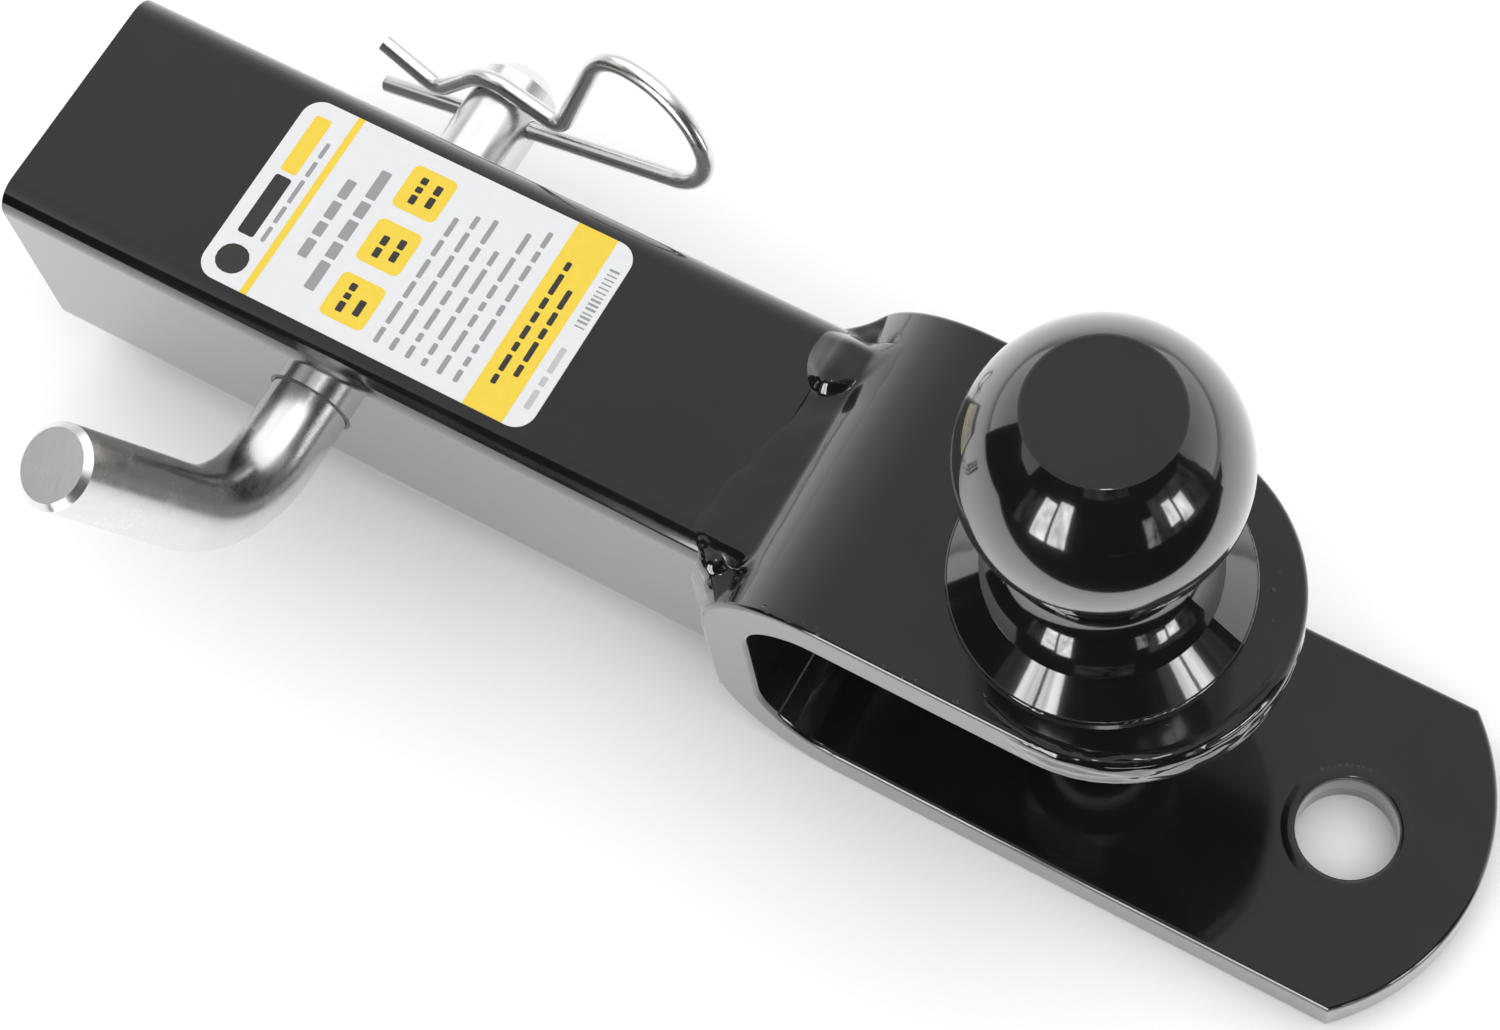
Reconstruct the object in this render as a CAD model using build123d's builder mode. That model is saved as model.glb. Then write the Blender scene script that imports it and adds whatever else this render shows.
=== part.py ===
"""Receiver-style drawbar with a tow ball above and a tow-pin tongue below.

A square steel shank slides into a receiver socket and is held there by a bent hitch pin.
A steel strip, bent into a U on its side, is welded across the front of the shank: its short
upper arm carries the tow ball, and its long lower arm has a hole for a drop-through tow pin.

Millimetres. +X runs along the shank towards the towed vehicle, +Z is up, and +Y is the side
where the hitch pin's clip sits. The origin is on the shank's centre line, at the hitch pin.
"""
import os
from math import cos, radians, sin, sqrt

from build123d import *

INCH = 25.4

# shank
shank_side = 2 * INCH
shank_half = shank_side / 2
shank_wall = 4.8
shank_corner = 5.2
shank_inner_corner = 1.5
shank_rear_x = -64.0
pin_clearance = 0.08

# U-shaped bracket, bent from flat strip
plate = 0.375 * INCH
strip_half = 1.25 * INCH
web_x = 89.0
upper_top_z = 33.2
lower_top_z = -30.6
inner_bend = 15.5
outer_bend = inner_bend + plate
bend_x = web_x + outer_bend
upper_bottom_z = upper_top_z - plate
lower_bottom_z = lower_top_z - plate
upper_end_x = 155.0
lower_end_x = 227.2
lower_end_radius = 43.2
tow_hole_x = 202.0
tow_hole_radius = 0.375 * INCH
plate_edge = 1.0

# tow ball, its threaded stud, lock washer and nut
ball_x = 152.0
ball_radius = 1.875 * INCH / 2
ball_centre_z = 80.9
ball_flat_radius = 12.7
ball_flat_rounding = 0.9
collar_radius = 26.4
collar_rim = 0.9
collar_rounding = 0.5
step_radius = 20.5
step_height = 6.4
step_ledge = 0.6
neck_radius = 14.0
neck_flare_z = 52.0
stud_radius = 0.375 * INCH
stud_bottom_z = -2.0
washer_outer = 15.4
washer_thickness = 4.8
washer_slit = 3.0
nut_across_flats = 1.125 * INCH
nut_height = 0.64 * INCH
nut_chamfer = 2.0

# hitch pin, 5/8 inch round bar, bent near one end
pin_radius = 0.3125 * INCH
pin_tip_y = 52.8
tip_chamfer = 2.9
bend_start = 37.0
bend_radius = 22.0
bend_angle = 71.0
handle_length = 35.8
handle_chamfer = 1.2
handle_turn = radians(15.0)

# wire clip through the pin's far end
wire_radius = 1.8
clip_y = 42.25
clip_lean = radians(15.0)
clip_clearance = 0.08
clip_arch_gap = 0.3

# adhesive label on top of the shank
label_rear_x = -22.9
label_front_x = 48.5
label_width = 40.6
label_corner = 4.0
label_thickness = 0.15

# weld beads round the front of the shank
bead_leg = 5.2
bead_front_x = web_x + 7.0
blob_radius = 6.0
bead_bottom_z = -23.0

# planes that follow the pin: one through its bend, one across it where the clip passes
along_clip = Vector(cos(handle_turn), 0, sin(handle_turn))
pin_plane = Plane(origin=(0, 0, 0), x_dir=(0, -1, 0), z_dir=-along_clip)
clip_up = Vector(-sin(handle_turn) * cos(clip_lean), sin(clip_lean), cos(handle_turn) * cos(clip_lean))
clip_plane = Plane(origin=(0, clip_y, 0), x_dir=along_clip, z_dir=along_clip.cross(clip_up))

os.makedirs("parts", exist_ok=True)


def finish(piece, name):
    """Label a finished piece and write it as a STEP file of the same name."""
    piece.part.label = name
    export_step(piece.part, f"parts/{name}.step")


# ---- shank -----------------------------------------------------------------------------

with BuildPart() as shank_tube:
    with BuildSketch(Plane.YZ.offset(shank_rear_x)):
        RectangleRounded(shank_side, shank_side, shank_corner)
        bore_side = shank_side - 2 * shank_wall
        RectangleRounded(bore_side, bore_side, shank_inner_corner, mode=Mode.SUBTRACT)
    extrude(amount=web_x - shank_rear_x)
    with BuildSketch(Plane.XZ):
        Circle(pin_radius + pin_clearance)
    extrude(amount=shank_side, both=True, mode=Mode.SUBTRACT)
finish(shank_tube, "shank_tube")


# ---- bracket ---------------------------------------------------------------------------

front_x = lower_end_x + 5
web_inside = web_x + plate
middle_z = (upper_bottom_z + lower_top_z) / 2


def is_strip_edge(edge):
    """True for the outer edges of the strip, along its sides and round the ends of its arms."""
    box = edge.bounding_box()
    along_side = abs(abs(edge.center().Y) - strip_half) < 0.01 and box.size.Y < 0.01
    upright = box.size.X < 0.01 and abs(edge.center().X - web_x) > plate + 1
    round_end = edge.geom_type == GeomType.CIRCLE and box.size.Z < 0.01 and box.size.Y > strip_half
    return (along_side and not upright) or round_end


with BuildPart() as clevis_bracket:
    with BuildSketch(Plane.XZ):
        with BuildLine():
            Polyline((bend_x, upper_top_z), (front_x, upper_top_z), (front_x, upper_bottom_z),
                     (bend_x, upper_bottom_z))
            TangentArc((bend_x, upper_bottom_z), (web_inside, upper_bottom_z - inner_bend),
                       tangent=(-1, 0))
            Line((web_inside, upper_bottom_z - inner_bend), (web_inside, lower_top_z + inner_bend))
            TangentArc((web_inside, lower_top_z + inner_bend), (bend_x, lower_top_z),
                       tangent=(0, -1))
            Polyline((bend_x, lower_top_z), (front_x, lower_top_z), (front_x, lower_bottom_z),
                     (bend_x, lower_bottom_z))
            TangentArc((bend_x, lower_bottom_z), (web_x, lower_bottom_z + outer_bend),
                       tangent=(-1, 0))
            Line((web_x, lower_bottom_z + outer_bend), (web_x, upper_top_z - outer_bend))
            TangentArc((web_x, upper_top_z - outer_bend), (bend_x, upper_top_z), tangent=(0, 1))
        make_face()
    extrude(amount=strip_half, both=True)
    # round the end of each arm
    arm_ends = ((upper_end_x, strip_half, shank_side),
                (lower_end_x - lower_end_radius, lower_end_radius, -shank_side))
    for centre_x, radius, cut_height in arm_ends:
        chord_x = centre_x + sqrt(radius**2 - strip_half**2)
        wide_y = strip_half + 5
        with BuildSketch(Plane.XY.offset(middle_z)):
            with BuildLine():
                Polyline((chord_x, -strip_half), (chord_x, -wide_y), (front_x, -wide_y),
                         (front_x, wide_y), (chord_x, wide_y), (chord_x, strip_half))
                ThreePointArc((chord_x, strip_half), (centre_x + radius, 0), (chord_x, -strip_half))
            make_face()
        extrude(amount=cut_height, mode=Mode.SUBTRACT)
    # one hole in each arm: the ball's stud above, the tow pin below
    arm_holes = ((ball_x, stud_radius, shank_side), (tow_hole_x, tow_hole_radius, -shank_side))
    for hole_x, hole_radius, cut_height in arm_holes:
        with BuildSketch(Plane.XY.offset(middle_z)):
            with Locations((hole_x, 0)):
                Circle(hole_radius)
        extrude(amount=cut_height, mode=Mode.SUBTRACT)
    fillet(clevis_bracket.edges().filter_by(is_strip_edge), plate_edge)
finish(clevis_bracket, "clevis_bracket")


# ---- weld beads ------------------------------------------------------------------------

for side, name in ((-1, "weld_near"), (1, "weld_far")):
    side_y = side * shank_half
    inner_y = side_y - side * shank_corner
    outer_y = side_y + side * bead_leg
    with BuildPart() as side_weld:
        # concave fillet between the shank's side and the web, run forward under the upper bend
        with BuildSketch(Plane.XY.offset(bead_bottom_z)):
            with BuildLine():
                Polyline((web_x, outer_y), (bead_front_x, outer_y), (bead_front_x, inner_y),
                         (web_x - bead_leg, inner_y), (web_x - bead_leg, side_y))
                ThreePointArc((web_x - bead_leg, side_y), (web_x - 2.0, side_y + side * 2.0),
                              (web_x, outer_y))
            make_face()
        extrude(amount=shank_half - shank_corner - bead_bottom_z)
        # built-up blob where the bead ends, at the shank's top corner
        with Locations((web_x + 1.0, inner_y, shank_half - shank_corner)):
            Sphere(blob_radius)
        # trim it to the outside of the shank and of the strip
        with BuildSketch(Plane.YZ.offset(shank_rear_x)):
            RectangleRounded(shank_side, shank_side, shank_corner)
        extrude(amount=web_x - shank_rear_x, mode=Mode.SUBTRACT)
        add(clevis_bracket.part, mode=Mode.SUBTRACT)
        # leave the top seam to its own bead
        with BuildSketch(Plane.YZ):
            Rectangle(2 * (shank_half - shank_corner), 2 * shank_side)
        extrude(amount=2 * shank_side, mode=Mode.SUBTRACT)
    finish(side_weld, name)

# fills the groove between the shank's end and the strip's outer bend, above and below
groove_welds = (("weld_top", 1, upper_top_z - outer_bend, radians(46), web_x - 2.6, (1, 0.1)),
                ("weld_bottom", -1, lower_bottom_z + outer_bend, radians(40), web_x - 4.5, (1, -1)))
for name, level, bend_z, reach_angle, toe_x, heading in groove_welds:
    face_z = level * shank_half
    front = (bend_x - outer_bend * cos(reach_angle), bend_z + level * outer_bend * sin(reach_angle))
    with BuildPart() as groove_weld:
        with BuildSketch(Plane.XZ):
            with BuildLine():
                TangentArc((web_x, bend_z), front, tangent=(0, level))
                TangentArc((toe_x, face_z), front, tangent=heading)
                Polyline((toe_x, face_z), (web_x, face_z), (web_x, bend_z))
            make_face()
        extrude(amount=shank_half - shank_corner, both=True)
    finish(groove_weld, name)


# ---- tow ball and its fasteners ----------------------------------------------------------

collar_top_z = upper_top_z + collar_rim
step_z = upper_top_z + step_height
neck_top_z = ball_centre_z - sqrt(ball_radius**2 - neck_radius**2)
flat_z = ball_centre_z + sqrt(ball_radius**2 - ball_flat_radius**2)

with BuildPart() as hitch_ball:
    with BuildSketch(Plane.XZ):
        with BuildLine():
            Polyline((ball_x, stud_bottom_z), (ball_x + stud_radius - 1.0, stud_bottom_z),
                     (ball_x + stud_radius, stud_bottom_z + 1.0), (ball_x + stud_radius, upper_top_z),
                     (ball_x + collar_radius, upper_top_z), (ball_x + collar_radius, collar_top_z))
            TangentArc((ball_x + collar_radius, collar_top_z),
                       (ball_x + collar_radius - collar_rounding, collar_top_z + collar_rounding),
                       tangent=(0, 1))
            Polyline((ball_x + collar_radius - collar_rounding, collar_top_z + collar_rounding),
                     (ball_x + step_radius, step_z), (ball_x + step_radius, step_z + step_ledge))
            ThreePointArc((ball_x + step_radius, step_z + step_ledge),
                          (ball_x + neck_radius + 1.9, neck_flare_z - 8),
                          (ball_x + neck_radius, neck_flare_z))
            Line((ball_x + neck_radius, neck_flare_z), (ball_x + neck_radius, neck_top_z))
            ThreePointArc((ball_x + neck_radius, neck_top_z), (ball_x + ball_radius, ball_centre_z),
                          (ball_x + ball_flat_radius, flat_z))
            Polyline((ball_x + ball_flat_radius, flat_z), (ball_x, flat_z), (ball_x, stud_bottom_z))
        make_face()
    revolve(axis=Axis((ball_x, 0, 0), (0, 0, 1)))
    fillet(hitch_ball.edges().filter_by(GeomType.CIRCLE).sort_by(Axis.Z)[-1], ball_flat_rounding)
finish(hitch_ball, "hitch_ball")

washer_z = upper_bottom_z - washer_thickness
with BuildPart() as ball_lock_washer:
    with BuildSketch(Plane.XY.offset(washer_z)):
        with Locations((ball_x, 0)):
            Circle(washer_outer)
            Circle(stud_radius, mode=Mode.SUBTRACT)
        with Locations((ball_x + washer_outer, 0)):
            Rectangle(washer_outer, washer_slit, rotation=12, mode=Mode.SUBTRACT)
    extrude(amount=washer_thickness)
finish(ball_lock_washer, "ball_lock_washer")

nut_z = washer_z - nut_height
hex_radius = nut_across_flats / 2 / cos(radians(30))
with BuildPart() as ball_nut:
    with BuildSketch(Plane.XY.offset(nut_z)):
        with Locations((ball_x, 0)):
            RegularPolygon(hex_radius, 6)
    extrude(amount=nut_height)
    # turned corners: the hexagon keeps only what lies inside a double-chamfered disc
    with BuildSketch(Plane.XZ):
        with BuildLine():
            Polyline((ball_x, nut_z), (ball_x + hex_radius - nut_chamfer, nut_z),
                     (ball_x + hex_radius, nut_z + nut_chamfer / 2),
                     (ball_x + hex_radius, nut_z + nut_height - nut_chamfer / 2),
                     (ball_x + hex_radius - nut_chamfer, nut_z + nut_height),
                     (ball_x, nut_z + nut_height), (ball_x, nut_z))
        make_face()
    revolve(axis=Axis((ball_x, 0, 0), (0, 0, 1)), mode=Mode.INTERSECT)
    with BuildSketch(Plane.XY.offset(nut_z)):
        with Locations((ball_x, 0)):
            Circle(stud_radius)
    extrude(amount=nut_height, mode=Mode.SUBTRACT)
finish(ball_nut, "ball_nut")


# ---- hitch pin -------------------------------------------------------------------------

with BuildPart() as hitch_pin:
    with BuildLine(pin_plane) as pin_route:
        shaft = Line((-pin_tip_y, 0), (bend_start, 0))
        bend = JernArc(start=(bend_start, 0), tangent=(1, 0), radius=bend_radius, arc_size=bend_angle)
        handle_direction = (cos(radians(bend_angle)), sin(radians(bend_angle)))
        bend_end = (bend_start + bend_radius * handle_direction[1],
                    bend_radius * (1 - handle_direction[0]))
        handle_end = (bend_end[0] + handle_length * handle_direction[0],
                      bend_end[1] + handle_length * handle_direction[1])
        Line(bend_end, handle_end)
    with BuildSketch(Plane.XZ.offset(-pin_tip_y)):
        Circle(pin_radius)
    sweep(path=pin_route.wires()[0])
    end_rims = hitch_pin.edges().filter_by(GeomType.CIRCLE)
    chamfer(end_rims.sort_by(Axis.Y)[-1], length=tip_chamfer)
    handle_rim = end_rims.sort_by(Axis.Z)[-1]
    chamfer(handle_rim, length=handle_chamfer)
    # cross hole for the clip's straight leg
    with BuildSketch(Plane(origin=clip_plane.origin, z_dir=along_clip)):
        Circle(wire_radius + clip_clearance)
    extrude(amount=2 * pin_radius, both=True, mode=Mode.SUBTRACT)
finish(hitch_pin, "hitch_pin")


# ---- clip ------------------------------------------------------------------------------

clip_tail = -28.5
neck_bend = 3.0
neck_turn = 81.5
valley_bend = 4.5
valley_turn = 65.0
tip_length = 11.0

# straight leg, and the open eye that a finger pulls on, drawn flat and then laid in the clip's plane
with BuildLine() as eye_route:
    leg = Line((clip_tail, 0), (42.5, 0))
    heel = TangentArc(leg @ 1, (50.9, 10.5), tangent=leg % 1)
    crown = TangentArc(heel @ 1, (37.0, 25.0), tangent=heel % 1)
    shoulder = TangentArc(crown @ 1, (28.0, 21.6), tangent=crown % 1)
    eye_side = PolarLine(shoulder @ 1, 18.7, direction=shoulder % 1)
    neck = JernArc(start=eye_side @ 1, tangent=eye_side % 1, radius=neck_bend, arc_size=-neck_turn)

with BuildPart() as retaining_clip:
    with BuildSketch(Plane(origin=clip_plane.from_local_coords((clip_tail, 0, 0)), z_dir=along_clip)):
        Circle(wire_radius)
    sweep(path=clip_plane * eye_route.wires()[0])
finish(retaining_clip, "retaining_clip")

# sprung leg: a straight run up to the pin, an arch over it, a valley and a turned-up tip
arch_radius = pin_radius / cos(clip_lean) + wire_radius + clip_arch_gap
with BuildLine() as spring_route:
    entry = PolarLine(neck @ 1, 10.5, direction=neck % 1)
    arch = JernArc(start=entry @ 1, tangent=entry % 1, radius=arch_radius, arc_size=56)
    descent = PolarLine(arch @ 1, 7.6, direction=arch % 1)
    valley = JernArc(start=descent @ 1, tangent=descent % 1, radius=valley_bend, arc_size=-valley_turn)
    PolarLine(valley @ 1, tip_length, direction=valley % 1)

neck_plane = Plane(origin=neck @ 1, z_dir=neck % 1)
with BuildPart() as clip_spring_leg:
    with BuildSketch(clip_plane * neck_plane):
        Circle(wire_radius)
    sweep(path=clip_plane * spring_route.wires()[0])
finish(clip_spring_leg, "clip_spring_leg")


# ---- label -----------------------------------------------------------------------------

with BuildPart() as product_label:
    with BuildSketch(Plane.XY.offset(shank_half)):
        with Locations(((label_rear_x + label_front_x) / 2, 0)):
            RectangleRounded(label_front_x - label_rear_x, label_width, label_corner)
    extrude(amount=label_thickness)
finish(product_label, "product_label")
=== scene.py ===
"""Looks for the receiver ball mount: a black painted shank, bracket and ball, with a zinc pin and clip.

The frame's nodes keep their shapes and get their materials here. The welds, the build-up of paint, the rims
of the holes, the stud's thread and the printed label are modelled here. Lengths are in millimetres in the
frame's own axes, except in the camera and studio sections, which are in metres.
"""
import math
import random

import bmesh
import bpy
from mathutils import Matrix, Vector, noise


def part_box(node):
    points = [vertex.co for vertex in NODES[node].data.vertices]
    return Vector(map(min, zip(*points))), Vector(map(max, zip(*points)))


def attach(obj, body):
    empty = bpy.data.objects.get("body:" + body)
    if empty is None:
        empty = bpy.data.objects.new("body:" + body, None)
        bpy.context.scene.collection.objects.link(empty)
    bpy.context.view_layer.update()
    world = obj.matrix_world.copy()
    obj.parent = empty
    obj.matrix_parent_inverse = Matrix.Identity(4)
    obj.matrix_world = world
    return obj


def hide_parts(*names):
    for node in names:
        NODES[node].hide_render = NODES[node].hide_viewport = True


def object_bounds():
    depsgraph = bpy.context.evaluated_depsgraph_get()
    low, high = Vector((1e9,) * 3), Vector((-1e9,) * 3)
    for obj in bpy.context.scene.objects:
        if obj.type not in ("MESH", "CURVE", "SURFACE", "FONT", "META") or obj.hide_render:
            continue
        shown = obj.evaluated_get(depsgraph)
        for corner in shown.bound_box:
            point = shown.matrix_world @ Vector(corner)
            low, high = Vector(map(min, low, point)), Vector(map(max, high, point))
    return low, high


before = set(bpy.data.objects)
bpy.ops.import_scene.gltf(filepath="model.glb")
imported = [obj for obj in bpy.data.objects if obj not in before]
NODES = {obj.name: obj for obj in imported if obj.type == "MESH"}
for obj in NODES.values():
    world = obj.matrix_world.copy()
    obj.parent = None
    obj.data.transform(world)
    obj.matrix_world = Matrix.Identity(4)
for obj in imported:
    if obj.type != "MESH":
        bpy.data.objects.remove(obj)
cad_low, cad_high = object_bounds()
MM = 0.001

# ---------------------------------------------------------------- node helpers


def new_material(name):
    """A node material, with its tree, its shader and the object coordinates that its textures use."""
    mat = bpy.data.materials.new(name)
    mat.use_nodes = True
    tree = mat.node_tree
    shader = tree.nodes["Principled BSDF"]
    coords = tree.nodes.new("ShaderNodeTexCoord").outputs["Object"]
    return mat, tree, shader, coords


def noise_at(tree, coords, scale, detail=3.0, roughness=0.55, stretch=None):
    """Noise whose features are about 1/scale metres across, drawn out along an axis by stretch."""
    if stretch is not None:
        mapping = tree.nodes.new("ShaderNodeMapping")
        mapping.inputs["Scale"].default_value = stretch
        tree.links.new(coords, mapping.inputs["Vector"])
        coords = mapping.outputs["Vector"]
    node = tree.nodes.new("ShaderNodeTexNoise")
    node.inputs["Scale"].default_value = scale
    node.inputs["Detail"].default_value = detail
    node.inputs["Roughness"].default_value = roughness
    tree.links.new(coords, node.inputs["Vector"])
    return node.outputs["Fac"]


def ranged(tree, value, low, high, to_low, to_high):
    """The value with low to high stretched to to_low to to_high, and held there outside."""
    node = tree.nodes.new("ShaderNodeMapRange")
    node.inputs["From Min"].default_value = low
    node.inputs["From Max"].default_value = high
    node.inputs["To Min"].default_value = to_low
    node.inputs["To Max"].default_value = to_high
    tree.links.new(value, node.inputs["Value"])
    return node.outputs["Result"]


def math_node(tree, operation, first, second):
    """One sum on two sockets or numbers."""
    node = tree.nodes.new("ShaderNodeMath")
    node.operation = operation
    for socket, value in zip(node.inputs, (first, second)):
        if isinstance(value, (int, float)):
            socket.default_value = value
        else:
            tree.links.new(value, socket)
    return node.outputs["Value"]


def spots_at(tree, coords, scale, size, keep):
    """Sparse round spots, 1 at their centres: Voronoi cells, most of which are left out."""
    cells = tree.nodes.new("ShaderNodeTexVoronoi")
    cells.inputs["Scale"].default_value = scale
    tree.links.new(coords, cells.inputs["Vector"])
    dot = ranged(tree, cells.outputs["Distance"], 0.0, size, 1.0, 0.0)
    chosen = math_node(tree, "GREATER_THAN", cells.outputs["Color"], 1.0 - keep)
    return math_node(tree, "MULTIPLY", dot, chosen)


def two_colours(tree, factor, first, second):
    """The first colour where factor is 0, and the second where it is 1."""
    node = tree.nodes.new("ShaderNodeMix")
    node.data_type = "RGBA"
    tree.links.new(factor, node.inputs["Factor"])
    node.inputs["A"].default_value = (*first, 1.0)
    node.inputs["B"].default_value = (*second, 1.0)
    return node.outputs["Result"]


def bump(tree, shader, layers):
    """Bump layers one after another: (height, distance in metres, strength)."""
    normal = None
    for height, distance, strength in layers:
        node = tree.nodes.new("ShaderNodeBump")
        node.inputs["Distance"].default_value = distance
        node.inputs["Strength"].default_value = strength
        tree.links.new(height, node.inputs["Height"])
        if normal is not None:
            tree.links.new(normal, node.inputs["Normal"])
        normal = node.outputs["Normal"]
    tree.links.new(normal, shader.inputs["Normal"])


# ---------------------------------------------------------------- materials

# where noise is cut when it drives a roughness or a strength
NOISE_LOW, NOISE_HIGH = 0.3, 0.7

# black paint: its darkest and lightest places, and how many features each noise has per metre
PAINT_DARK = (0.0035, 0.0035, 0.0038)
PAINT_LIGHT = (0.0085, 0.0084, 0.0082)
PAINT_ROLL, PAINT_PEEL, PAINT_DUST = 55.0, 900.0, 150.0
PAINT_SPECULAR = 0.6
COAT_IOR = 1.85

# zinc plate and label ink, in the same way
ZINC_SHADE = 0.86
ZINC_CLOUD, ZINC_PITS = 120.0, 420.0
INK_MOTTLE, LABEL_ROLL = 700.0, 40.0
INK_ROUGHNESS = (0.28, 0.40)


def gloss_black(name, rough, wave, peel, dust, coat):
    """Thick black paint: near-black, wavy at two scales, with a little dust set in it."""
    mat, tree, shader, coords = new_material(name)
    roll = noise_at(tree, coords, PAINT_ROLL, 4.0)
    fine = noise_at(tree, coords, PAINT_PEEL, 2.0)
    nibs = spots_at(tree, coords, PAINT_DUST, 0.09, dust)
    tree.links.new(two_colours(tree, roll, PAINT_DARK, PAINT_LIGHT), shader.inputs["Base Color"])
    tree.links.new(ranged(tree, roll, NOISE_LOW, NOISE_HIGH, *rough), shader.inputs["Roughness"])
    shader.inputs["Specular IOR Level"].default_value = PAINT_SPECULAR
    shader.inputs["Coat Weight"].default_value = 1.0
    shader.inputs["Coat Roughness"].default_value = coat
    shader.inputs["Coat IOR"].default_value = COAT_IOR
    bump(tree, shader, [(roll, 0.0006, wave), (fine, 0.00006, peel), (nibs, 0.0001, 0.8)])
    return mat


def plated_metal(name, tint, rough, grain, grain_axis):
    """Bright zinc plate: clouded, with drawing lines along the bar and small marks."""
    mat, tree, shader, coords = new_material(name)
    cloud = noise_at(tree, coords, ZINC_CLOUD, 5.0)
    lines = noise_at(tree, coords, grain, 3.0, 0.6, grain_axis)
    pits = spots_at(tree, coords, ZINC_PITS, 0.12, 0.03)
    shaded = tuple(channel * ZINC_SHADE for channel in tint)
    tree.links.new(two_colours(tree, cloud, shaded, tint), shader.inputs["Base Color"])
    shader.inputs["Metallic"].default_value = 1.0
    cloud_share = math_node(tree, "MULTIPLY", cloud, 0.6)
    line_share = math_node(tree, "MULTIPLY", lines, 0.4)
    mixed = math_node(tree, "ADD", cloud_share, line_share)
    tree.links.new(ranged(tree, mixed, NOISE_LOW, NOISE_HIGH, *rough), shader.inputs["Roughness"])
    bump(tree, shader, [(lines, 0.00004, 0.3), (cloud, 0.0003, 0.06), (pits, 0.00005, 0.25)])
    return mat


def printed(name, colour, fade):
    """Ink or film on the label: a fine mottle under a thin clear laminate."""
    mat, tree, shader, coords = new_material(name)
    mottle = noise_at(tree, coords, INK_MOTTLE, 4.0)
    roll = noise_at(tree, coords, LABEL_ROLL, 2.0)
    faded = tuple(channel * fade for channel in colour)
    tree.links.new(two_colours(tree, mottle, faded, colour), shader.inputs["Base Color"])
    tree.links.new(ranged(tree, mottle, NOISE_LOW, NOISE_HIGH, *INK_ROUGHNESS), shader.inputs["Roughness"])
    shader.inputs["Coat Weight"].default_value = 0.25
    shader.inputs["Coat Roughness"].default_value = 0.15
    bump(tree, shader, [(roll, 0.0004, 0.12), (mottle, 0.00002, 0.2)])
    return mat


def set_material(node, mat):
    mesh = NODES[node].data
    mesh.materials.clear()
    mesh.materials.append(mat)


paint = gloss_black("gloss_black_paint", rough=(0.10, 0.20), wave=0.10, peel=0.10, dust=0.035, coat=0.07)
ball_paint = gloss_black("gloss_black_ball", rough=(0.09, 0.16), wave=0.06, peel=0.05, dust=0.05, coat=0.05)
weld_paint = gloss_black("gloss_black_weld", rough=(0.08, 0.16), wave=0.12, peel=0.10, dust=0.02, coat=0.05)
satin_black = gloss_black("satin_black_fastener", rough=(0.28, 0.42), wave=0.10, peel=0.25, dust=0.02,
                          coat=0.25)
# a dull black for the rings round the hitch-pin holes: painted shade standing in for the dark gap round the
# pin
gap_shade_black = gloss_black("painted_gap_shade", rough=(0.5, 0.7), wave=0.1, peel=0.4, dust=0.02, coat=0.5)
pin_zinc = plated_metal("zinc_pin", (0.80, 0.80, 0.79), (0.17, 0.32), 500.0, (1.0, 0.12, 1.0))
wire_zinc = plated_metal("zinc_wire", (0.84, 0.84, 0.83), (0.18, 0.32), 700.0, (0.2, 1.0, 1.0))
for part_name in ("shank_tube", "clevis_bracket"):
    set_material(part_name, paint)
set_material("hitch_ball", ball_paint)
set_material("hitch_pin", pin_zinc)
for part_name in ("retaining_clip", "clip_spring_leg"):
    set_material(part_name, wire_zinc)
for part_name in ("ball_nut", "ball_lock_washer"):
    set_material(part_name, satin_black)

# ---------------------------------------------------------------- mesh helpers


def link(mesh, name, mats, body, node=None):
    """Puts a mesh in the scene on its body, in place of a node or beside the nodes."""
    obj = bpy.data.objects.new(name, mesh)
    bpy.context.scene.collection.objects.link(obj)
    for mat in mats:
        mesh.materials.append(mat)
    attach(obj, body)
    if node:
        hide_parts(node)


def smooth(mesh):
    for face in mesh.polygons:
        face.use_smooth = True


def mesh_from(bm, name):
    """The mesh of bm, which is freed."""
    mesh = bpy.data.meshes.new(name)
    bm.to_mesh(mesh)
    bm.free()
    return mesh


def add_blob(bm, centre, radii, lumpy, seed):
    """An ellipsoid, slightly uneven."""
    made = bmesh.ops.create_icosphere(bm, subdivisions=3, radius=1.0)
    for vert in made["verts"]:
        lump = 1.0 + lumpy * noise.noise(vert.co * 1.3 + Vector((seed * 3.1, 0, 0)))
        vert.co = Vector(centre) * MM + Vector([c * r * MM * lump for c, r in zip(vert.co, radii)])


def add_loft(bm, sections, closed=False):
    """A solid through a row of sections of equally many points; closed joins the last to the first."""
    rings = [[bm.verts.new(Vector(point) * MM) for point in section] for section in sections]
    count = len(rings[0])
    for ring, following in zip(rings, rings[1:] + (rings[:1] if closed else [])):
        for i in range(count):
            j = (i + 1) % count
            bm.faces.new((ring[i], ring[j], following[j], following[i]))
    if not closed:
        bm.faces.new(rings[0][::-1])
        bm.faces.new(rings[-1])


def lofted(sections, name, closed=False):
    """A mesh lofted through sections, its faces turned outwards."""
    bm = bmesh.new()
    add_loft(bm, sections, closed)
    bmesh.ops.recalc_face_normals(bm, faces=bm.faces)
    return mesh_from(bm, name)


def fused(bm, name, voxel, passes):
    """One skin over everything in bm, relaxed as thick paint levels it."""
    bmesh.ops.recalc_face_normals(bm, faces=bm.faces)
    rough = bpy.data.objects.new(name + "_rough", mesh_from(bm, name + "_rough"))
    bpy.context.scene.collection.objects.link(rough)
    remesh = rough.modifiers.new("fuse", "REMESH")
    remesh.mode = "VOXEL"
    remesh.voxel_size = voxel * MM
    relax = rough.modifiers.new("flow", "SMOOTH")
    relax.factor = 0.5
    relax.iterations = passes
    result = bpy.data.meshes.new_from_object(rough.evaluated_get(bpy.context.evaluated_depsgraph_get()))
    bpy.data.objects.remove(rough)
    result.name = name
    smooth(result)
    return result


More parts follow.
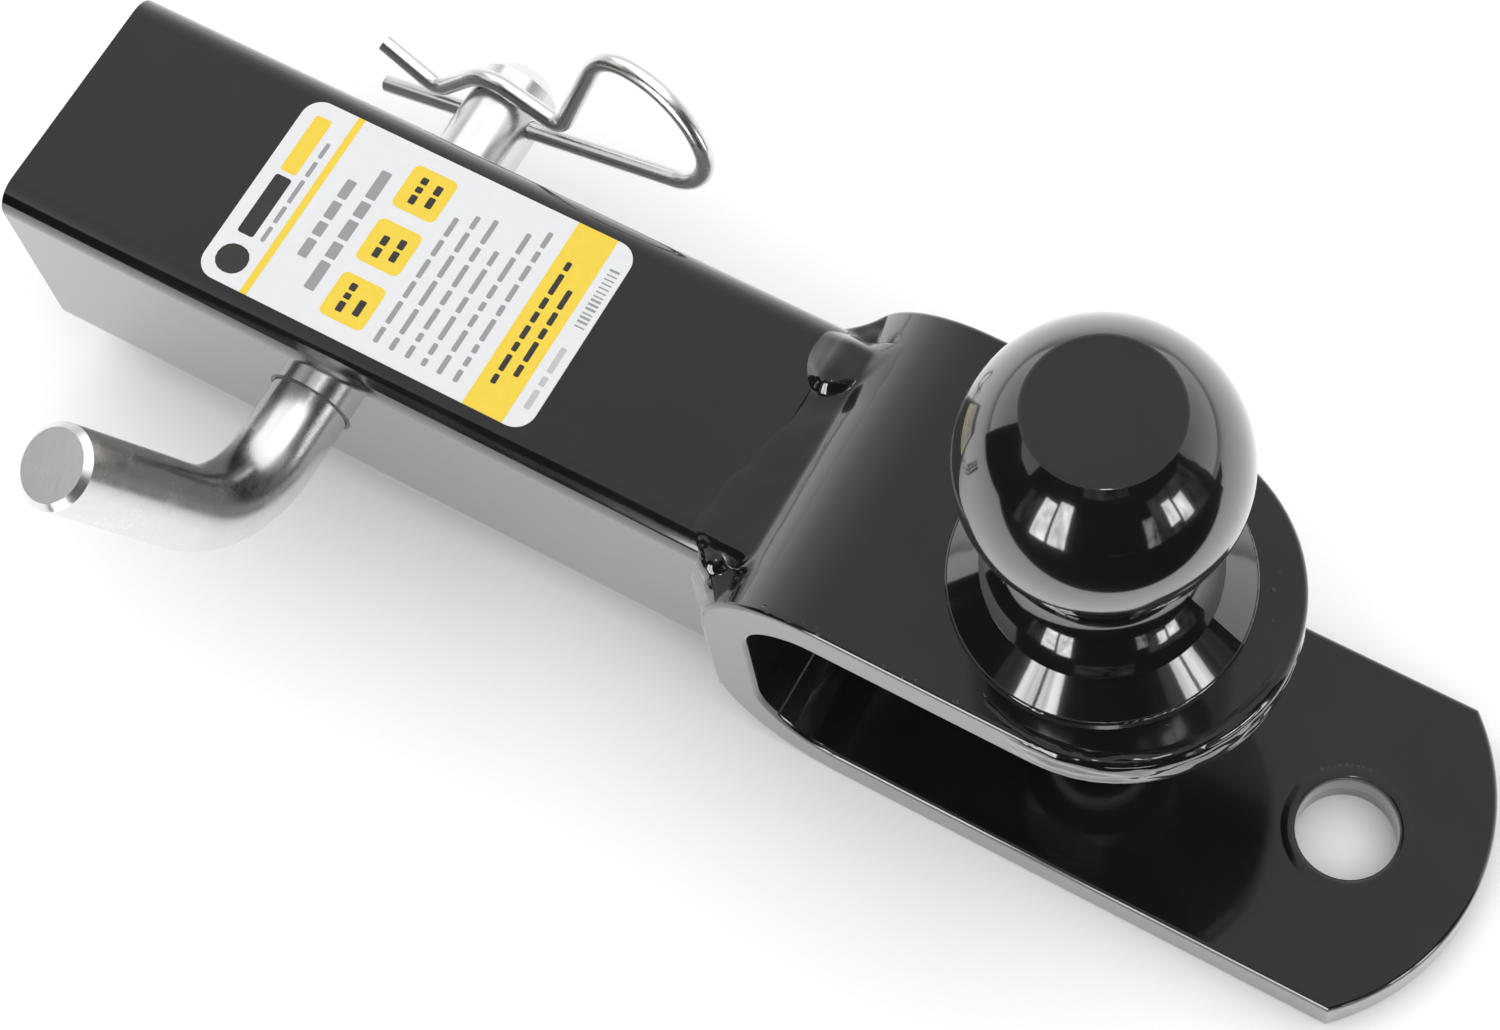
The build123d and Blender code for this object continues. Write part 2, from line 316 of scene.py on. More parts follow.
def eased(value, start, end):
    """0 before start, 1 after end, and smooth between."""
    t = min(max((value - start) / (end - start), 0.0), 1.0)
    return t * t * (3 - 2 * t)


# ---------------------------------------------------------------- sizes, from the frame where it has them

tube_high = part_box("shank_tube")[1]
bracket_low, bracket_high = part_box("clevis_bracket")
WEB_X = tube_high.x / MM
TUBE_HALF = tube_high.y / MM
TUBE_CORNER = 5.2
STRIP_HALF = bracket_high.y / MM
ARM_TOP = bracket_high.z / MM
PLATE = 9.525
TONGUE_TOP = bracket_low.z / MM + PLATE
BEND_RADIUS = 15.5 + PLATE
BEND_X = WEB_X + BEND_RADIUS
BEND_Z = ARM_TOP - BEND_RADIUS
ARM_CENTRE_X = 155.0
BALL_X = 152.0
TOW_HOLE_X = 202.0
TOW_HOLE_RADIUS = 9.525

# ---------------------------------------------------------------- welds

VOXEL = 0.35
BEAD_LEG = 5.6
BEAD_BOTTOM, BEAD_TOP = -24.0, 22.5
BEAD_SECTIONS = 60
BURIED = 2.5
TOE_SUNK = 0.12

# the groove weld: how far it runs to each side, where its ends start to die away, and its middle sizes
GROOVE_REACH, GROOVE_FADES = 24.6, 21.0
GROOVE_SECTIONS, GROOVE_STEPS = 98, 44
GROOVE_TOE_X, GROOVE_END_X = 83.8, 101.0
TOE_STEP = 4.2
GROOVE_CROWN = 0.22
EDGE_SLOPE = 0.12
MOUND_X, MOUND_HEIGHT = 91.0, 2.3


def bend_back_x(z):
    """Where the strip's rear face is, at height z on the web or on its upper bend."""
    rise = max(z - BEND_Z, 0.0)
    return BEND_X - math.sqrt(BEND_RADIUS ** 2 - rise ** 2)


def bend_top_z(x):
    """How high the upper bend's outer face is at x."""
    run = min(max(BEND_X - x, 0.0), BEND_RADIUS)
    return BEND_Z + math.sqrt(BEND_RADIUS ** 2 - run ** 2)


def corner_drop(reach):
    """How far the shank's rounded corner has fallen away at this distance from the centre line."""
    past = max(abs(reach) - TUBE_HALF + TUBE_CORNER, 0.0)
    return TUBE_CORNER - math.sqrt(TUBE_CORNER ** 2 - past ** 2)


def side_section(side, z):
    """The side bead's outline at height z: toe on the tube, hollow face, toe on the strip, buried back."""
    back = bend_back_x(z)
    wall = TUBE_HALF - corner_drop(z)
    ripple = 0.07 * math.sin(z * 2.6 + side) + 0.45 * noise.noise(Vector((z * 0.11, side, 0.0)))
    leg = BEAD_LEG + ripple
    toe = (back - leg, wall - TOE_SUNK)
    end = (back + 0.1, STRIP_HALF - 0.45 + 0.3 * ripple)
    hollow = (back - 0.36 * leg, wall + 0.36 * (end[1] - wall))
    points = []
    for step in range(9):
        t = step / 8
        weights = ((1 - t) ** 2, 2 * t * (1 - t), t * t)
        points.append(tuple(sum(w * c for w, c in zip(weights, axis)) for axis in zip(toe, hollow, end)))
    points += [(back + BURIED, end[1] - 0.6), (back + BURIED, wall - BURIED), (back - leg, wall - BURIED)]
    return [(x, side * y, z) for x, y in points]


def make_side_weld(name, node, side, blobs):
    """A bead down one side of the shank, with the blobs (centre, radii) that it ends in at the top."""
    bm = bmesh.new()
    height = BEAD_TOP - BEAD_BOTTOM
    levels = [BEAD_BOTTOM + height * i / BEAD_SECTIONS for i in range(BEAD_SECTIONS + 1)]
    add_loft(bm, [side_section(side, z) for z in levels])
    for index, ((x, y, z), radii) in enumerate(blobs):
        add_blob(bm, (x, side * y, z), radii, 0.03, index)
    link(fused(bm, name, VOXEL, 20), name, [weld_paint], "mount", node)


def mound(x, y):
    """Weld metal heaped where the groove weld ends: steep on its near side, running out to the far corner."""
    front = 9.9 + 4.5 * ((x - MOUND_X) / 5.4) ** 2
    along = math.exp(-((x - MOUND_X) / 4.2) ** 2)
    return MOUND_HEIGHT * along * eased(y, front, front + 2.9) * (1 - 0.3 * eased(y, 15.0, 21.0))


def groove_height(x, y, toe_x, end_x, surface, run_out):
    """The groove weld's top between its toes: a low crown on the tube, and a fillet up the bend."""
    sunk = 0.7 * eased(y, 1.0, 9.0) + 0.6 * run_out
    soft = 5.0 + 28.0 * eased(y, 10.0, 17.0)
    past, bend = x - toe_x, bend_top_z(x)
    if past < 0.0:
        return surface - sunk + EDGE_SLOPE * past
    if x > end_x:
        return bend + EDGE_SLOPE * (end_x - x)
    t = past / (end_x - toe_x)
    uneven = 0.10 * eased(past, 0.0, 3.0) * noise.noise(Vector((x * 0.35, y * 0.25, 5.0)))
    crown = GROOVE_CROWN * (1 - math.exp(-past / 1.6)) + uneven
    flat = surface + crown * (1 - t) ** 0.3 - sunk * (1 - t)
    gap = flat - bend
    fill = 0.5 * (math.sqrt(gap * gap + soft) - abs(gap)) * (1 - t) * eased(past, 0.0, 4.0)
    return max(flat, bend) + fill * (1 - 0.8 * run_out)


def top_section(y):
    """The groove weld's outline at y: an uneven toe on the tube, its top, and a buried base."""
    surface = TUBE_HALF - corner_drop(y)
    run_out = eased(abs(y), GROOVE_FADES, GROOVE_REACH)
    # the toe works its way forward from the near side, and steps back again where the mound starts
    toe_x = GROOVE_TOE_X + TOE_STEP * (eased(y, -20.0, 5.0) - eased(y, 8.0, 11.0))
    toe_x += 0.7 * noise.noise(Vector((y * 0.22, 3.0, 0.0)))
    end_x = GROOVE_END_X + 0.5 * noise.noise(Vector((y * 0.3, 9.0, 0.0)))
    first, last = toe_x - 3.0, end_x + 2.0
    points = []
    for step in range(GROOVE_STEPS + 1):
        x = first + (last - first) * step / GROOVE_STEPS
        height = groove_height(x, y, toe_x, end_x, surface, run_out)
        points.append((x, y, height + mound(x, y) * (1 - 0.8 * run_out)))
    base = surface - 2.0
    return points + [(last, y, base), (first, y, base)]


def make_top_weld():
    """The weld in the groove between the shank's top and the strip's upper bend."""
    name = "weld_bead_top"
    bm = bmesh.new()
    stations = [-GROOVE_REACH + 2 * GROOVE_REACH * i / GROOVE_SECTIONS for i in range(GROOVE_SECTIONS + 1)]
    add_loft(bm, [top_section(y) for y in stations])
    link(fused(bm, name, VOXEL, 10), name, [weld_paint], "mount", "weld_top")


def make_bottom_weld():
    """A row of overlapping beads fused with the frame's own bead under the shank."""
    name = "weld_bead_bottom"
    bm = bmesh.new()
    bm.from_mesh(NODES["weld_bottom"].data)
    for i in range(17):
        add_blob(bm, (WEB_X - 0.5, i * 2.4 - 19.2, -TUBE_HALF - 0.6), (3.2, 1.9, 2.2), 0.05, i)
    link(fused(bm, name, 0.45, 5), name, [weld_paint], "mount", "weld_bottom")


NEAR_BLOBS = (((86.6, 21.4, 22.0), (3.8, 3.3, 3.3)),
              ((89.4, 24.0, 20.9), (3.6, 3.4, 3.7)),
              ((92.3, 27.2, 19.2), (3.4, 3.2, 3.4)))
FAR_BLOBS = (((89.6, 22.4, 20.6), (4.2, 3.2, 3.4)),
             ((93.4, 25.2, 19.8), (4.2, 4.2, 3.4)))
make_side_weld("weld_bead_near", "weld_near", -1, NEAR_BLOBS)
make_side_weld("weld_bead_far", "weld_far", 1, FAR_BLOBS)
make_top_weld()
make_bottom_weld()

# ---------------------------------------------------------------- paint build-up

# the skin of paint round the arm's end: its stretch in degrees, its steps, and how it lies on the edge
RUN_START, RUN_TURN = -118.0, 138.0
RUN_STEPS, RUN_ACROSS = 180, 26
ARM_EDGE = 1.4
RUN_FLAT = 1.6
RUN_DROP = PLATE - ARM_EDGE - 0.9
RUN_UNDER = -0.8
# how far outside the tow-pin hole its row of nibs lies
NIBS_OUT = 2.475


def arm_edge_at(run):
    """The point and the outward direction (radial, up) after run millimetres over the arm's edge."""
    corner = ARM_EDGE * math.pi / 2
    if run < RUN_FLAT:
        return (STRIP_HALF - ARM_EDGE - RUN_FLAT + run, ARM_TOP), (0.0, 1.0)
    if run < RUN_FLAT + corner:
        tilt = (run - RUN_FLAT) / ARM_EDGE
        normal = (math.sin(tilt), math.cos(tilt))
        centre = (STRIP_HALF - ARM_EDGE, ARM_TOP - ARM_EDGE)
        return tuple(c + ARM_EDGE * n for c, n in zip(centre, normal)), normal
    return (STRIP_HALF, ARM_TOP - ARM_EDGE - (run - RUN_FLAT - corner)), (1.0, 0.0)


def make_paint_run():
    """Paint that ran and set in a wavy skin over the rim of the upper arm's round end."""
    length = RUN_FLAT + ARM_EDGE * math.pi / 2 + RUN_DROP
    sections = []
    for i in range(RUN_STEPS + 1):
        t = i / RUN_STEPS
        angle = math.radians(RUN_START + RUN_TURN * t)
        outer, inner = [], []
        for j in range(RUN_ACROSS + 1):
            base, normal = arm_edge_at(length * j / RUN_ACROSS)
            fade = math.sqrt(max(math.sin(math.pi * t) * math.sin(math.pi * j / RUN_ACROSS), 0.0))
            wave = noise.noise(Vector((i * 0.045, j * 0.22, 2.0)))
            wave += 0.3 * noise.noise(Vector((i * 0.12, j * 0.3, 7.0)))
            thick = -0.10 + fade * (0.45 + 0.55 * wave)
            for ring, offset in ((outer, thick), (inner, RUN_UNDER)):
                r, z = base[0] + normal[0] * offset, base[1] + normal[1] * offset
                ring.append((ARM_CENTRE_X + r * math.cos(angle), r * math.sin(angle), z))
        sections.append(outer + inner[::-1])
    mesh = lofted(sections, "paint_run_arm")
    smooth(mesh)
    link(mesh, "paint_run_arm", [ball_paint], "mount")


def make_specks():
    """Grit set in the paint: along the upper arm's near edge, round the collar and by the tow-pin hole."""
    rng = random.Random(21)
    places = []
    for _ in range(9):
        x, inset = rng.uniform(104.0, 150.0), rng.uniform(0.7, 1.6)
        places.append((x, -STRIP_HALF + inset, ARM_TOP - 0.05))
    for _ in range(6):
        angle = math.radians(rng.uniform(-110.0, 30.0))
        reach = rng.uniform(27.5, 30.4)
        places.append((BALL_X + reach * math.cos(angle), reach * math.sin(angle), ARM_TOP - 0.02))
    reach = TOW_HOLE_RADIUS + NIBS_OUT
    for i in range(9):
        angle = math.radians(96.0 + 5.2 * i + rng.uniform(-1.0, 1.0))
        places.append((TOW_HOLE_X + reach * math.cos(angle), reach * math.sin(angle), TONGUE_TOP))
    bm = bmesh.new()
    for place in places:
        size = rng.uniform(0.16, 0.34)
        made = bmesh.ops.create_icosphere(bm, subdivisions=2, radius=1.0)
        for vert in made["verts"]:
            flattened = Vector((vert.co.x * 1.3, vert.co.y, vert.co.z * 0.7))
            vert.co = (Vector(place) + flattened * size) * MM
    mesh = mesh_from(bm, "paint_nibs")
    smooth(mesh)
    link(mesh, "paint_nibs", [ball_paint], "mount")


make_paint_run()
make_specks()

# ---------------------------------------------------------------- thread and hole rims

THREAD_LOW, THREAD_HIGH, THREAD_PITCH, THREAD_RADIUS = -1.7, 2.6, 2.54, 9.45
THREAD_DEPTH = 0.42
THREAD_STEPS = 150
PIN_RIM_INNER, PIN_RIM_OUTER = 8.05, 8.75
PIN_RIM_STEPS = 72
LIP_STEPS = 120
# the tow-pin hole's lip, over the face and down the wall: (out from the wall, up from the face)
LIP_FACE = ((3.6, -0.15), (2.7, -0.02), (1.9, 0.08), (1.2, 0.14), (0.7, 0.13), (0.35, 0.05), (0.08, -0.12),
            (-0.10, -0.4), (-0.19, -0.85), (-0.20, -1.6), (-0.14, -3.0), (-0.05, -5.0), (0.06, -6.6))
LIP_BACK = ((0.8, -6.6), (0.9, -1.2), (3.4, -0.6))


def make_thread():
    """The coarse thread on the stud's end, below the nut."""
    rise = THREAD_HIGH - THREAD_LOW
    root = THREAD_RADIUS - 0.5
    sections = []
    for i in range(THREAD_STEPS + 1):
        t = i / THREAD_STEPS
        angle = 2 * math.pi * t * rise / THREAD_PITCH
        z = THREAD_LOW + rise * t
        crest = THREAD_RADIUS + THREAD_DEPTH * min(1.0, t * 12, (1 - t) * 12) + 0.01
        ring = ((root, -0.9), (crest, -0.18), (crest, 0.18), (root, 0.9))
        sections.append([(BALL_X + r * math.cos(angle), r * math.sin(angle), z + up) for r, up in ring])
    link(lofted(sections, "stud_thread"), "stud_thread", [satin_black], "mount")


def make_pin_rim(name, side):
    """A dark ring round the hitch pin's hole in one side of the shank: painted shade for the gap round the
    pin.
    """
    sections = []
    for i in range(PIN_RIM_STEPS):
        angle = 2 * math.pi * i / PIN_RIM_STEPS
        edge = PIN_RIM_OUTER + 0.14 * noise.noise(Vector((math.cos(angle) * 2, math.sin(angle) * 2, side)))
        ring = ((PIN_RIM_INNER, -0.3), (edge, -0.3), (edge - 0.12, 0.10), (PIN_RIM_INNER + 0.1, 0.14))
        across, up = math.cos(angle), math.sin(angle)
        sections.append([(r * across, side * (TUBE_HALF + out), r * up) for r, out in ring])
    mesh = lofted(sections, name, closed=True)
    smooth(mesh)
    link(mesh, name, [gap_shade_black], "mount")


def make_tow_rim():
    """Paint rolled over the edge of the tow-pin hole, heavier in places."""
    sections = []
    for i in range(LIP_STEPS):
        angle = 2 * math.pi * i / LIP_STEPS
        heavy = 1.0 + 0.5 * noise.noise(Vector((math.cos(angle) * 1.7, math.sin(angle) * 1.7, 4.0)))
        face = [(out * heavy if out < 0 else out, up * heavy if up > 0 else up) for out, up in LIP_FACE]
        section = []
        for out, up in face + list(LIP_BACK):
            reach = TOW_HOLE_RADIUS + out
            section.append((TOW_HOLE_X + reach * math.cos(angle), reach * math.sin(angle), TONGUE_TOP + up))
        sections.append(section)
    mesh = lofted(sections, "tow_hole_rim", closed=True)
    smooth(mesh)
    link(mesh, "tow_hole_rim", [paint], "mount")


make_thread()
make_pin_rim("pin_hole_rim_near", -1)
make_pin_rim("pin_hole_rim_far", 1)
make_tow_rim()

# ---------------------------------------------------------------- label

label_low, label_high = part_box("product_label")
LABEL_REAR, LABEL_FRONT = label_low.x / MM, label_high.x / MM
HALF_Y = label_high.y / MM
PAPER_LOW, PAPER_TOP = label_low.z / MM, label_high.z / MM
LABEL_CORNER = 4.0
INK = 0.02
WHITE, YELLOW, GREY, DARK, PALE = range(5)
# each ink's name, colour and how far its mottle darkens it, in the order of the numbers above
INKS = (("label_film", (0.63, 0.633, 0.64), 0.95),
        ("label_yellow", (0.72, 0.52, 0.04), 0.93),
        ("label_grey", (0.27, 0.275, 0.285), 0.85),
        ("label_dark", (0.035, 0.034, 0.032), 0.7),
        ("label_pale", (0.42, 0.43, 0.44), 0.9))


def rounded_outline(x0, x1, y0, y1, radius, steps):
    """A rectangle's outline with round corners, anticlockwise."""
    points = []
    for cx, cy, start in ((x1 - radius, y1 - radius, 0), (x0 + radius, y1 - radius, 90),
                          (x0 + radius, y0 + radius, 180), (x1 - radius, y0 + radius, 270)):
        for step in range(steps + 1):
            turn = math.radians(start + 90.0 * step / steps)
            points.append((cx + radius * math.cos(turn), cy + radius * math.sin(turn)))
    return points


def add_slab(bm, outline, low, high, slot):
    """A flat closed slab with vertical sides."""
    bottom = [bm.verts.new((x * MM, y * MM, low * MM)) for x, y in outline]
    top = [bm.verts.new((x * MM, y * MM, high * MM)) for x, y in outline]
    faces = [bm.faces.new(top), bm.faces.new(bottom[::-1])]
    for i in range(len(outline)):
        j = (i + 1) % len(outline)
        faces.append(bm.faces.new((bottom[i], bottom[j], top[j], top[i])))
    for face in faces:
        face.material_index = slot


def ink(bm, x0, x1, y0, y1, slot, radius=0.25, level=0):
    """A patch of ink: level 0 lies on the film, and level 1 on another ink."""
    outline = rounded_outline(x0, x1, y0, y1, radius, 4)
    add_slab(bm, outline, PAPER_TOP - 0.05, PAPER_TOP + INK * (level + 1), slot)


def word_row(bm, x, height, y0, y1, slot, rng, words=(1.6, 5.5), gap=0.9, level=0):
    """A row of plain bars, standing for words, that runs from y0 to y1 across the shank."""
    y = y0
    while y < y1 - words[0]:
        end = min(y + rng.uniform(*words), y1)
        ink(bm, x - height / 2, x + height / 2, y, end, slot, min(0.3, height / 3), level)
        y = end + gap


def print_heading(bm, rng):
    """The maker's zone, with a plain dot and plain bars, a thin band, and the title's two rows."""
    ink(bm, LABEL_REAR + 2.2, LABEL_REAR + 8.6, -18.2, -12.2, DARK, 2.9)
    ink(bm, LABEL_REAR + 2.9, LABEL_REAR + 6.4, -10.0, 3.4, DARK, 0.6)
    ink(bm, LABEL_REAR + 2.9, LABEL_REAR + 6.4, 4.4, 17.2, YELLOW, 0.6)
    word_row(bm, LABEL_REAR + 8.3, 0.9, -9.8, 13.0, GREY, rng)
    ink(bm, -12.6, -11.1, -HALF_Y, HALF_Y, YELLOW, 0.05)
    word_row(bm, -6.4, 2.0, -9.0, 8.5, GREY, rng, (2.5, 5.0))
    word_row(bm, -1.6, 2.2, -14.0, 14.0, GREY, rng, (3.0, 7.0))


def print_squares(bm, rng):
    """Three yellow squares in a row, each with two short rows of words."""
    for y in (-12.3, 0.0, 12.3):
        ink(bm, 2.3, 11.7, y - 4.7, y + 4.7, YELLOW, 1.3)
        word_row(bm, 5.6, 1.4, y - 3.0, y + 3.2, DARK, rng, (1.2, 2.6), 0.6, 1)
        word_row(bm, 8.9, 1.4, y - 2.4, y + 2.6, DARK, rng, (2.0, 3.4), 0.6, 1)


def print_small_type(bm, rng):
    """Six lines of small words, the wide yellow band with two more, and a row of stripes along the front."""
    for row in range(6):
        word_row(bm, 15.0 + 3.4 * row, 1.05, -17.4, 17.2 - rng.uniform(0, 9), GREY, rng)
    ink(bm, 35.4, 43.8, -HALF_Y, HALF_Y, YELLOW, 0.05)
    word_row(bm, 38.2, 1.1, -14.5, 12.5, DARK, rng, (1.6, 4.6), 0.8, 1)
    word_row(bm, 41.2, 1.1, -11.5, 10.0, DARK, rng, (1.6, 4.6), 0.8, 1)
    word_row(bm, 46.2, 1.2, -16.0, -2.0, PALE, rng)
    for i in range(14):
        start = 2.0 + i * 0.95
        ink(bm, 45.3, 47.4, start, start + rng.choice((0.3, 0.5)), GREY, 0.05)


def make_label():
    rng = random.Random(11)
    bm = bmesh.new()
    film = rounded_outline(LABEL_REAR, LABEL_FRONT, -HALF_Y, HALF_Y, LABEL_CORNER, 8)
    add_slab(bm, film, PAPER_LOW, PAPER_TOP, WHITE)
    print_heading(bm, rng)
    print_squares(bm, rng)
    print_small_type(bm, rng)
    mats = [printed(name, colour, fade) for name, colour, fade in INKS]
    link(mesh_from(bm, "label_print"), "label_print", mats, "mount", "product_label")


make_label()

# ---------------------------------------------------------------- camera, in metres

CAMERA_AT = Vector((0.24622, -0.18757, 0.56248))
# the side it looks from, how far it looks down, and its roll
CAMERA_AZIMUTH = math.radians(-52.113)
CAMERA_ELEVATION = math.radians(63.28)
CAMERA_ROLL = math.radians(-9.468)
QUARTER_TURN = math.pi / 2
CAMERA_LENS = 80.87
CAMERA_SHIFT = (-0.0391, -0.1433)


def make_camera():
    data = bpy.data.cameras.new("camera")
    data.sensor_width = 36.0
    data.lens = CAMERA_LENS
    data.shift_x, data.shift_y = CAMERA_SHIFT
    data.clip_start = 0.01
    data.clip_end = 50.0
    camera = bpy.data.objects.new("camera", data)
    side = Matrix.Rotation(CAMERA_AZIMUTH + QUARTER_TURN, 4, "Z")
    tilt = Matrix.Rotation(QUARTER_TURN - CAMERA_ELEVATION, 4, "X")
    roll = Matrix.Rotation(CAMERA_ROLL, 4, "Z")
    camera.matrix_world = Matrix.Translation(CAMERA_AT) @ side @ tilt @ roll
    bpy.context.scene.collection.objects.link(camera)
    bpy.context.scene.camera = camera


make_camera()

# ---------------------------------------------------------------- studio, in metres

TOWARDS = Vector((math.cos(CAMERA_AZIMUTH), math.sin(CAMERA_AZIMUTH), 0.0))
SIDEWAYS = Vector((-TOWARDS.y, TOWARDS.x, 0.0))
BALL_AT = Vector((0.152, 0.0, 0.0809))
PLATED = ("hitch_pin", "retaining_clip", "clip_spring_leg")
FLOOR_HALF = 6.0
# how bright the sky is at each height on its unit sphere
SKY = ((0.0, 1.15), (0.15, 0.95), (0.5, 0.52), (0.86, 0.29), (1.0, 0.25))
SKY_BLUE = 1.01
# a dark card on the floor, on the camera's side: nearest and farthest edge, and half its width
CARD_NEAR, CARD_FAR, CARD_HALF = 0.24, 1.45, 1.5
# each glow's strength, how uneven it is, and the scale of its streaks
GLOWS = {"flag_black": (0.012, 0.0, 1.0),
         "window_bright": (5.5, 0.5, 7.0),
         "window_dim": (1.0, 0.8, 9.0),
         "room_dim": (0.16, 1.0, 5.0)}
# cards and windows round the ball: azimuths and elevations in degrees, distance, glow, columns and rows
PANELS = (("flag_front", (-78.0, 72.0), (-5.0, 55.0), 1.4, "flag_black", 40, 8),
          ("flag_left", (-118.0, -78.0), (-5.0, 27.0), 1.4, "flag_black", 10, 6),
          ("window_left_a", (-57.0, -47.0), (-6.0, 27.0), 1.2, "window_bright", 12, 6),
          ("window_left_b", (-45.0, -34.0), (-6.0, 31.0), 1.2, "window_bright", 12, 6),
          ("window_left_glow", (-70.0, -57.0), (-10.0, 24.0), 1.25, "room_dim", 12, 6),
          ("window_right_a", (34.0, 41.0), (2.0, 22.0), 1.2, "window_bright", 12, 6),
          ("window_right_b", (43.0, 51.0), (-2.0, 19.0), 1.2, "window_bright", 12, 6),
          ("window_right_c", (17.0, 25.0), (-8.0, 18.0), 1.2, "window_dim", 12, 6),
          ("room_right", (25.0, 66.0), (-16.0, 30.0), 1.3, "room_dim", 12, 6),
          ("room_high", (-30.0, 14.0), (40.0, 52.0), 1.3, "room_dim", 12, 6),
          ("lamp_small", (-14.0, 2.0), (66.0, 74.0), 1.2, "window_bright", 12, 6))


def direction(azimuth, elevation):
    """A unit vector: azimuth is measured from the camera's side round to its right."""
    a, e = math.radians(azimuth), math.radians(elevation)
    flat = TOWARDS * math.cos(a) + SIDEWAYS * math.sin(a)
    return flat * math.cos(e) + Vector((0, 0, 1)) * math.sin(e)


def stage_mesh(name, verts, faces, mat, only_in_reflections=True):
    """A piece of the studio, which is not part of the object."""
    mesh = bpy.data.meshes.new(name)
    mesh.from_pydata(verts, [], faces)
    mesh.materials.append(mat)
    obj = bpy.data.objects.new(name, mesh)
    bpy.context.scene.collection.objects.link(obj)
    if only_in_reflections:
        obj.visible_camera = False
        obj.visible_diffuse = False
        obj.visible_shadow = False
        obj.visible_transmission = False


def glow(name, strength, uneven, scale):
    """A white shader that gives light, streaked by noise where it is uneven."""
    mat = bpy.data.materials.new(name)
    mat.use_nodes = True
    tree = mat.node_tree
    tree.nodes.clear()
    emission = tree.nodes.new("ShaderNodeEmission")
    emission.inputs["Color"].default_value = (1.0, 1.0, 1.0, 1.0)
    emission.inputs["Strength"].default_value = strength
    if uneven:
        coords = tree.nodes.new("ShaderNodeTexCoord").outputs["Object"]
        streaks = noise_at(tree, coords, scale, 3.0, 0.6, (1.0, 1.0, 0.35))
        weakest, strongest = strength * (1.0 - uneven), strength * (1.0 + 0.5 * uneven)
        tree.links.new(ranged(tree, streaks, 0.35, 0.65, weakest, strongest), emission.inputs["Strength"])
    output = tree.nodes.new("ShaderNodeOutputMaterial")
    tree.links.new(emission.outputs["Emission"], output.inputs["Surface"])
    return mat


def panel(name, azimuths, elevations, distance, mat, columns, rows):
    """A patch of a sphere round the ball, as a reflection card or a window."""
    verts = []
    for j in range(rows + 1):
        for i in range(columns + 1):
            azimuth = azimuths[0] + (azimuths[1] - azimuths[0]) * i / columns
            elevation = elevations[0] + (elevations[1] - elevations[0]) * j / rows
            verts.append(BALL_AT + direction(azimuth, elevation) * distance)
    faces = []
    for j in range(rows):
        for i in range(columns):
            k = j * (columns + 1) + i
            faces.append((k, k + 1, k + columns + 2, k + columns + 1))
    stage_mesh(name, verts, faces, mat)


def make_floor():
    """A wide pale floor under the object's lowest point."""
    mat, tree, shader, coords = new_material("floor_white")
    cloud = noise_at(tree, coords, 3.0, 2.0)
    greys = two_colours(tree, cloud, (0.89, 0.89, 0.89), (0.91, 0.91, 0.91))
    tree.links.new(greys, shader.inputs["Base Color"])
    shader.inputs["Roughness"].default_value = 0.7
    shader.inputs["Specular IOR Level"].default_value = 0.1
    corners = [(x * FLOOR_HALF, y * FLOOR_HALF, cad_low.z) for x, y in ((-1, -1), (1, -1), (1, 1), (-1, 1))]
    stage_mesh("floor", corners, [(0, 1, 2, 3)], mat, only_in_reflections=False)


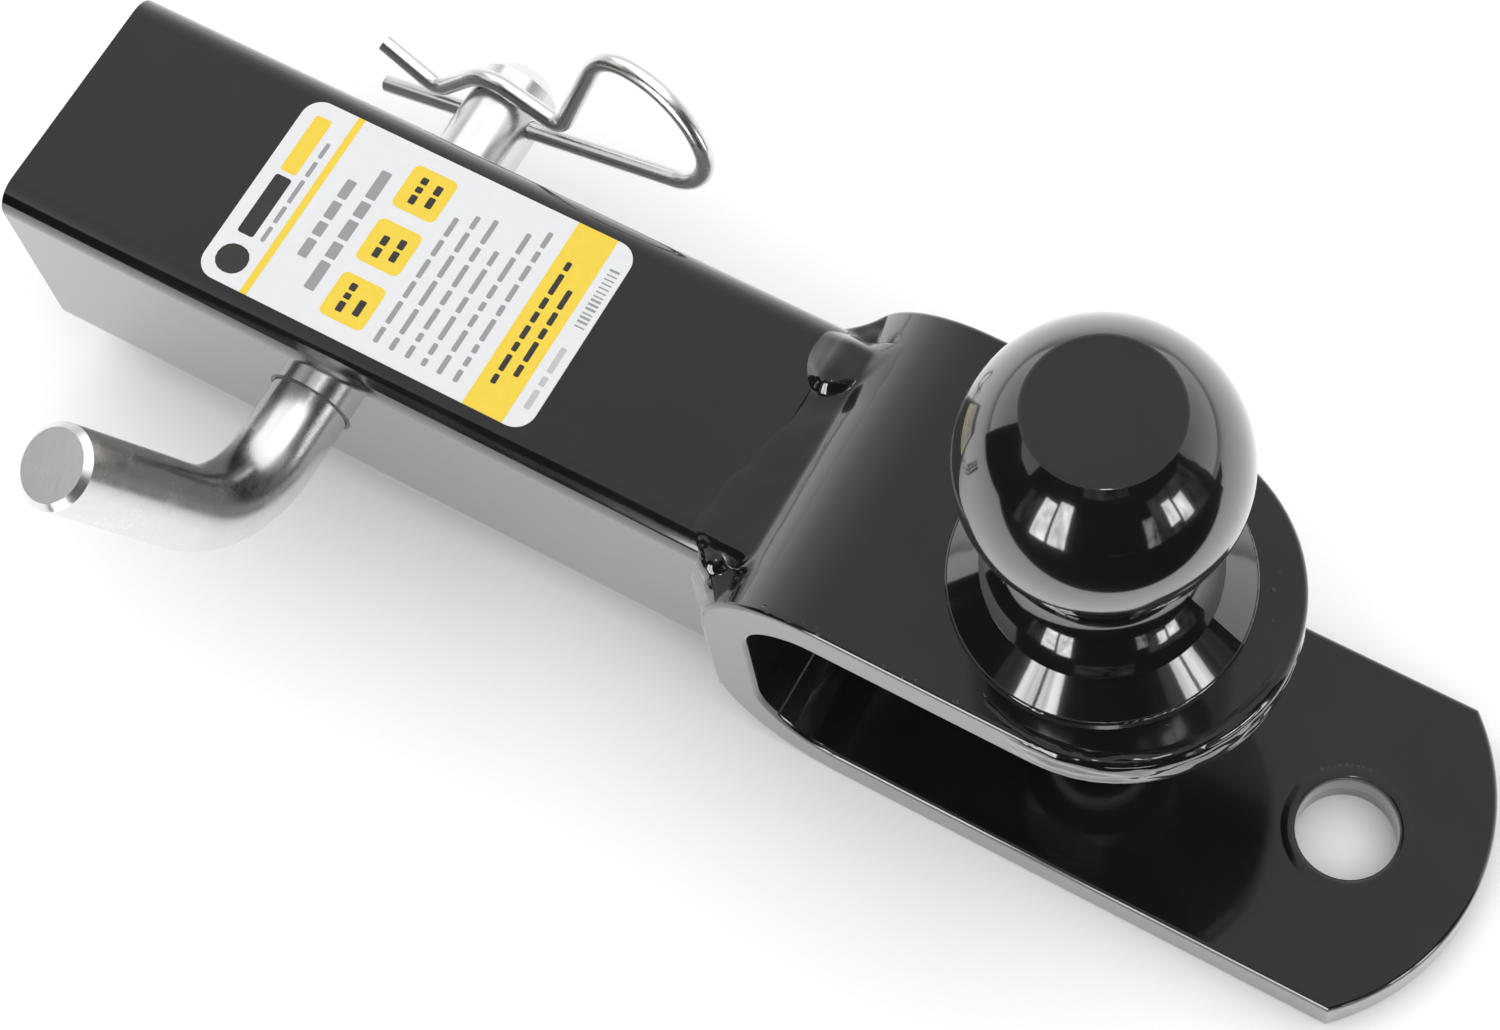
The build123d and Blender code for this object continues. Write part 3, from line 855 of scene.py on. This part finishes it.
def make_world():
    """A pale sky, brightest at the horizon and dim overhead."""
    world = bpy.data.worlds.new("studio")
    bpy.context.scene.world = world
    world.use_nodes = True
    tree = world.node_tree
    background = tree.nodes["Background"]
    split = tree.nodes.new("ShaderNodeSeparateXYZ")
    tree.links.new(tree.nodes.new("ShaderNodeTexCoord").outputs["Generated"], split.inputs["Vector"])
    ramp = tree.nodes.new("ShaderNodeValToRGB")
    elements = ramp.color_ramp.elements
    elements[0].position, elements[1].position = SKY[0][0], SKY[-1][0]
    for position, _ in SKY[1:-1]:
        elements.new(position)
    for element, (_, level) in zip(elements, SKY):
        element.color = (level, level, level * SKY_BLUE, 1.0)
    tree.links.new(split.outputs["Z"], ramp.inputs["Fac"])
    tree.links.new(ramp.outputs["Color"], background.inputs["Color"])


def area_light(name, place, target, size, power, in_reflections, receivers=()):
    """A softbox at place, facing target, that lights only its receivers where it has any."""
    data = bpy.data.lights.new(name, "AREA")
    data.shape = "RECTANGLE"
    data.size, data.size_y = size
    data.energy = power
    light = bpy.data.objects.new(name, data)
    light.location = place
    light.rotation_euler = (Vector(target) - Vector(place)).to_track_quat("-Z", "Y").to_euler()
    light.visible_glossy = in_reflections
    bpy.context.scene.collection.objects.link(light)
    if receivers:
        lit = bpy.data.collections.new(name + "_receivers")
        for receiver in receivers:
            lit.objects.link(NODES[receiver])
        light.light_linking.receiver_collection = lit


def make_lights():
    """The key light over the floor, and three softboxes that only the plated pieces see."""
    far, top = BALL_AT + direction(175.0, 58.0) * 1.0, BALL_AT + direction(0.0, 84.0) * 0.9
    area_light("key", (0.05, 0.05, 1.2), (0.08, 0.0, 0.0), (2.6, 2.6), 34.0, False)
    area_light("metal_far", far, (0.0, 0.0, 0.0), (1.7, 1.2), 6.6, True, PLATED)
    area_light("metal_top", top, (0.0, 0.0, 0.0), (0.9, 0.7), 2.4, True, PLATED)
    area_light("metal_end", (-0.67, -0.27, 0.64), (-0.05, -0.075, 0.03), (0.5, 0.5), 0.36, True, PLATED)


def make_reflections():
    """The dark cards and bright windows that the black paint shows."""
    glows = {name: glow(name, *values) for name, values in GLOWS.items()}
    for name, azimuths, elevations, distance, mat_name, columns, rows in PANELS:
        panel(name, azimuths, elevations, distance, glows[mat_name], columns, rows)
    lift = Vector((0, 0, cad_low.z + 0.001))
    reaches = ((CARD_NEAR, -CARD_HALF), (CARD_NEAR, CARD_HALF), (CARD_FAR, CARD_HALF), (CARD_FAR, -CARD_HALF))
    corners = [TOWARDS * ahead + SIDEWAYS * aside + lift for ahead, aside in reaches]
    stage_mesh("flag_floor", corners, [(0, 1, 2, 3)], glows["flag_black"])


make_floor()
make_world()
make_lights()
make_reflections()
bpy.context.scene.view_settings.view_transform = "Standard"
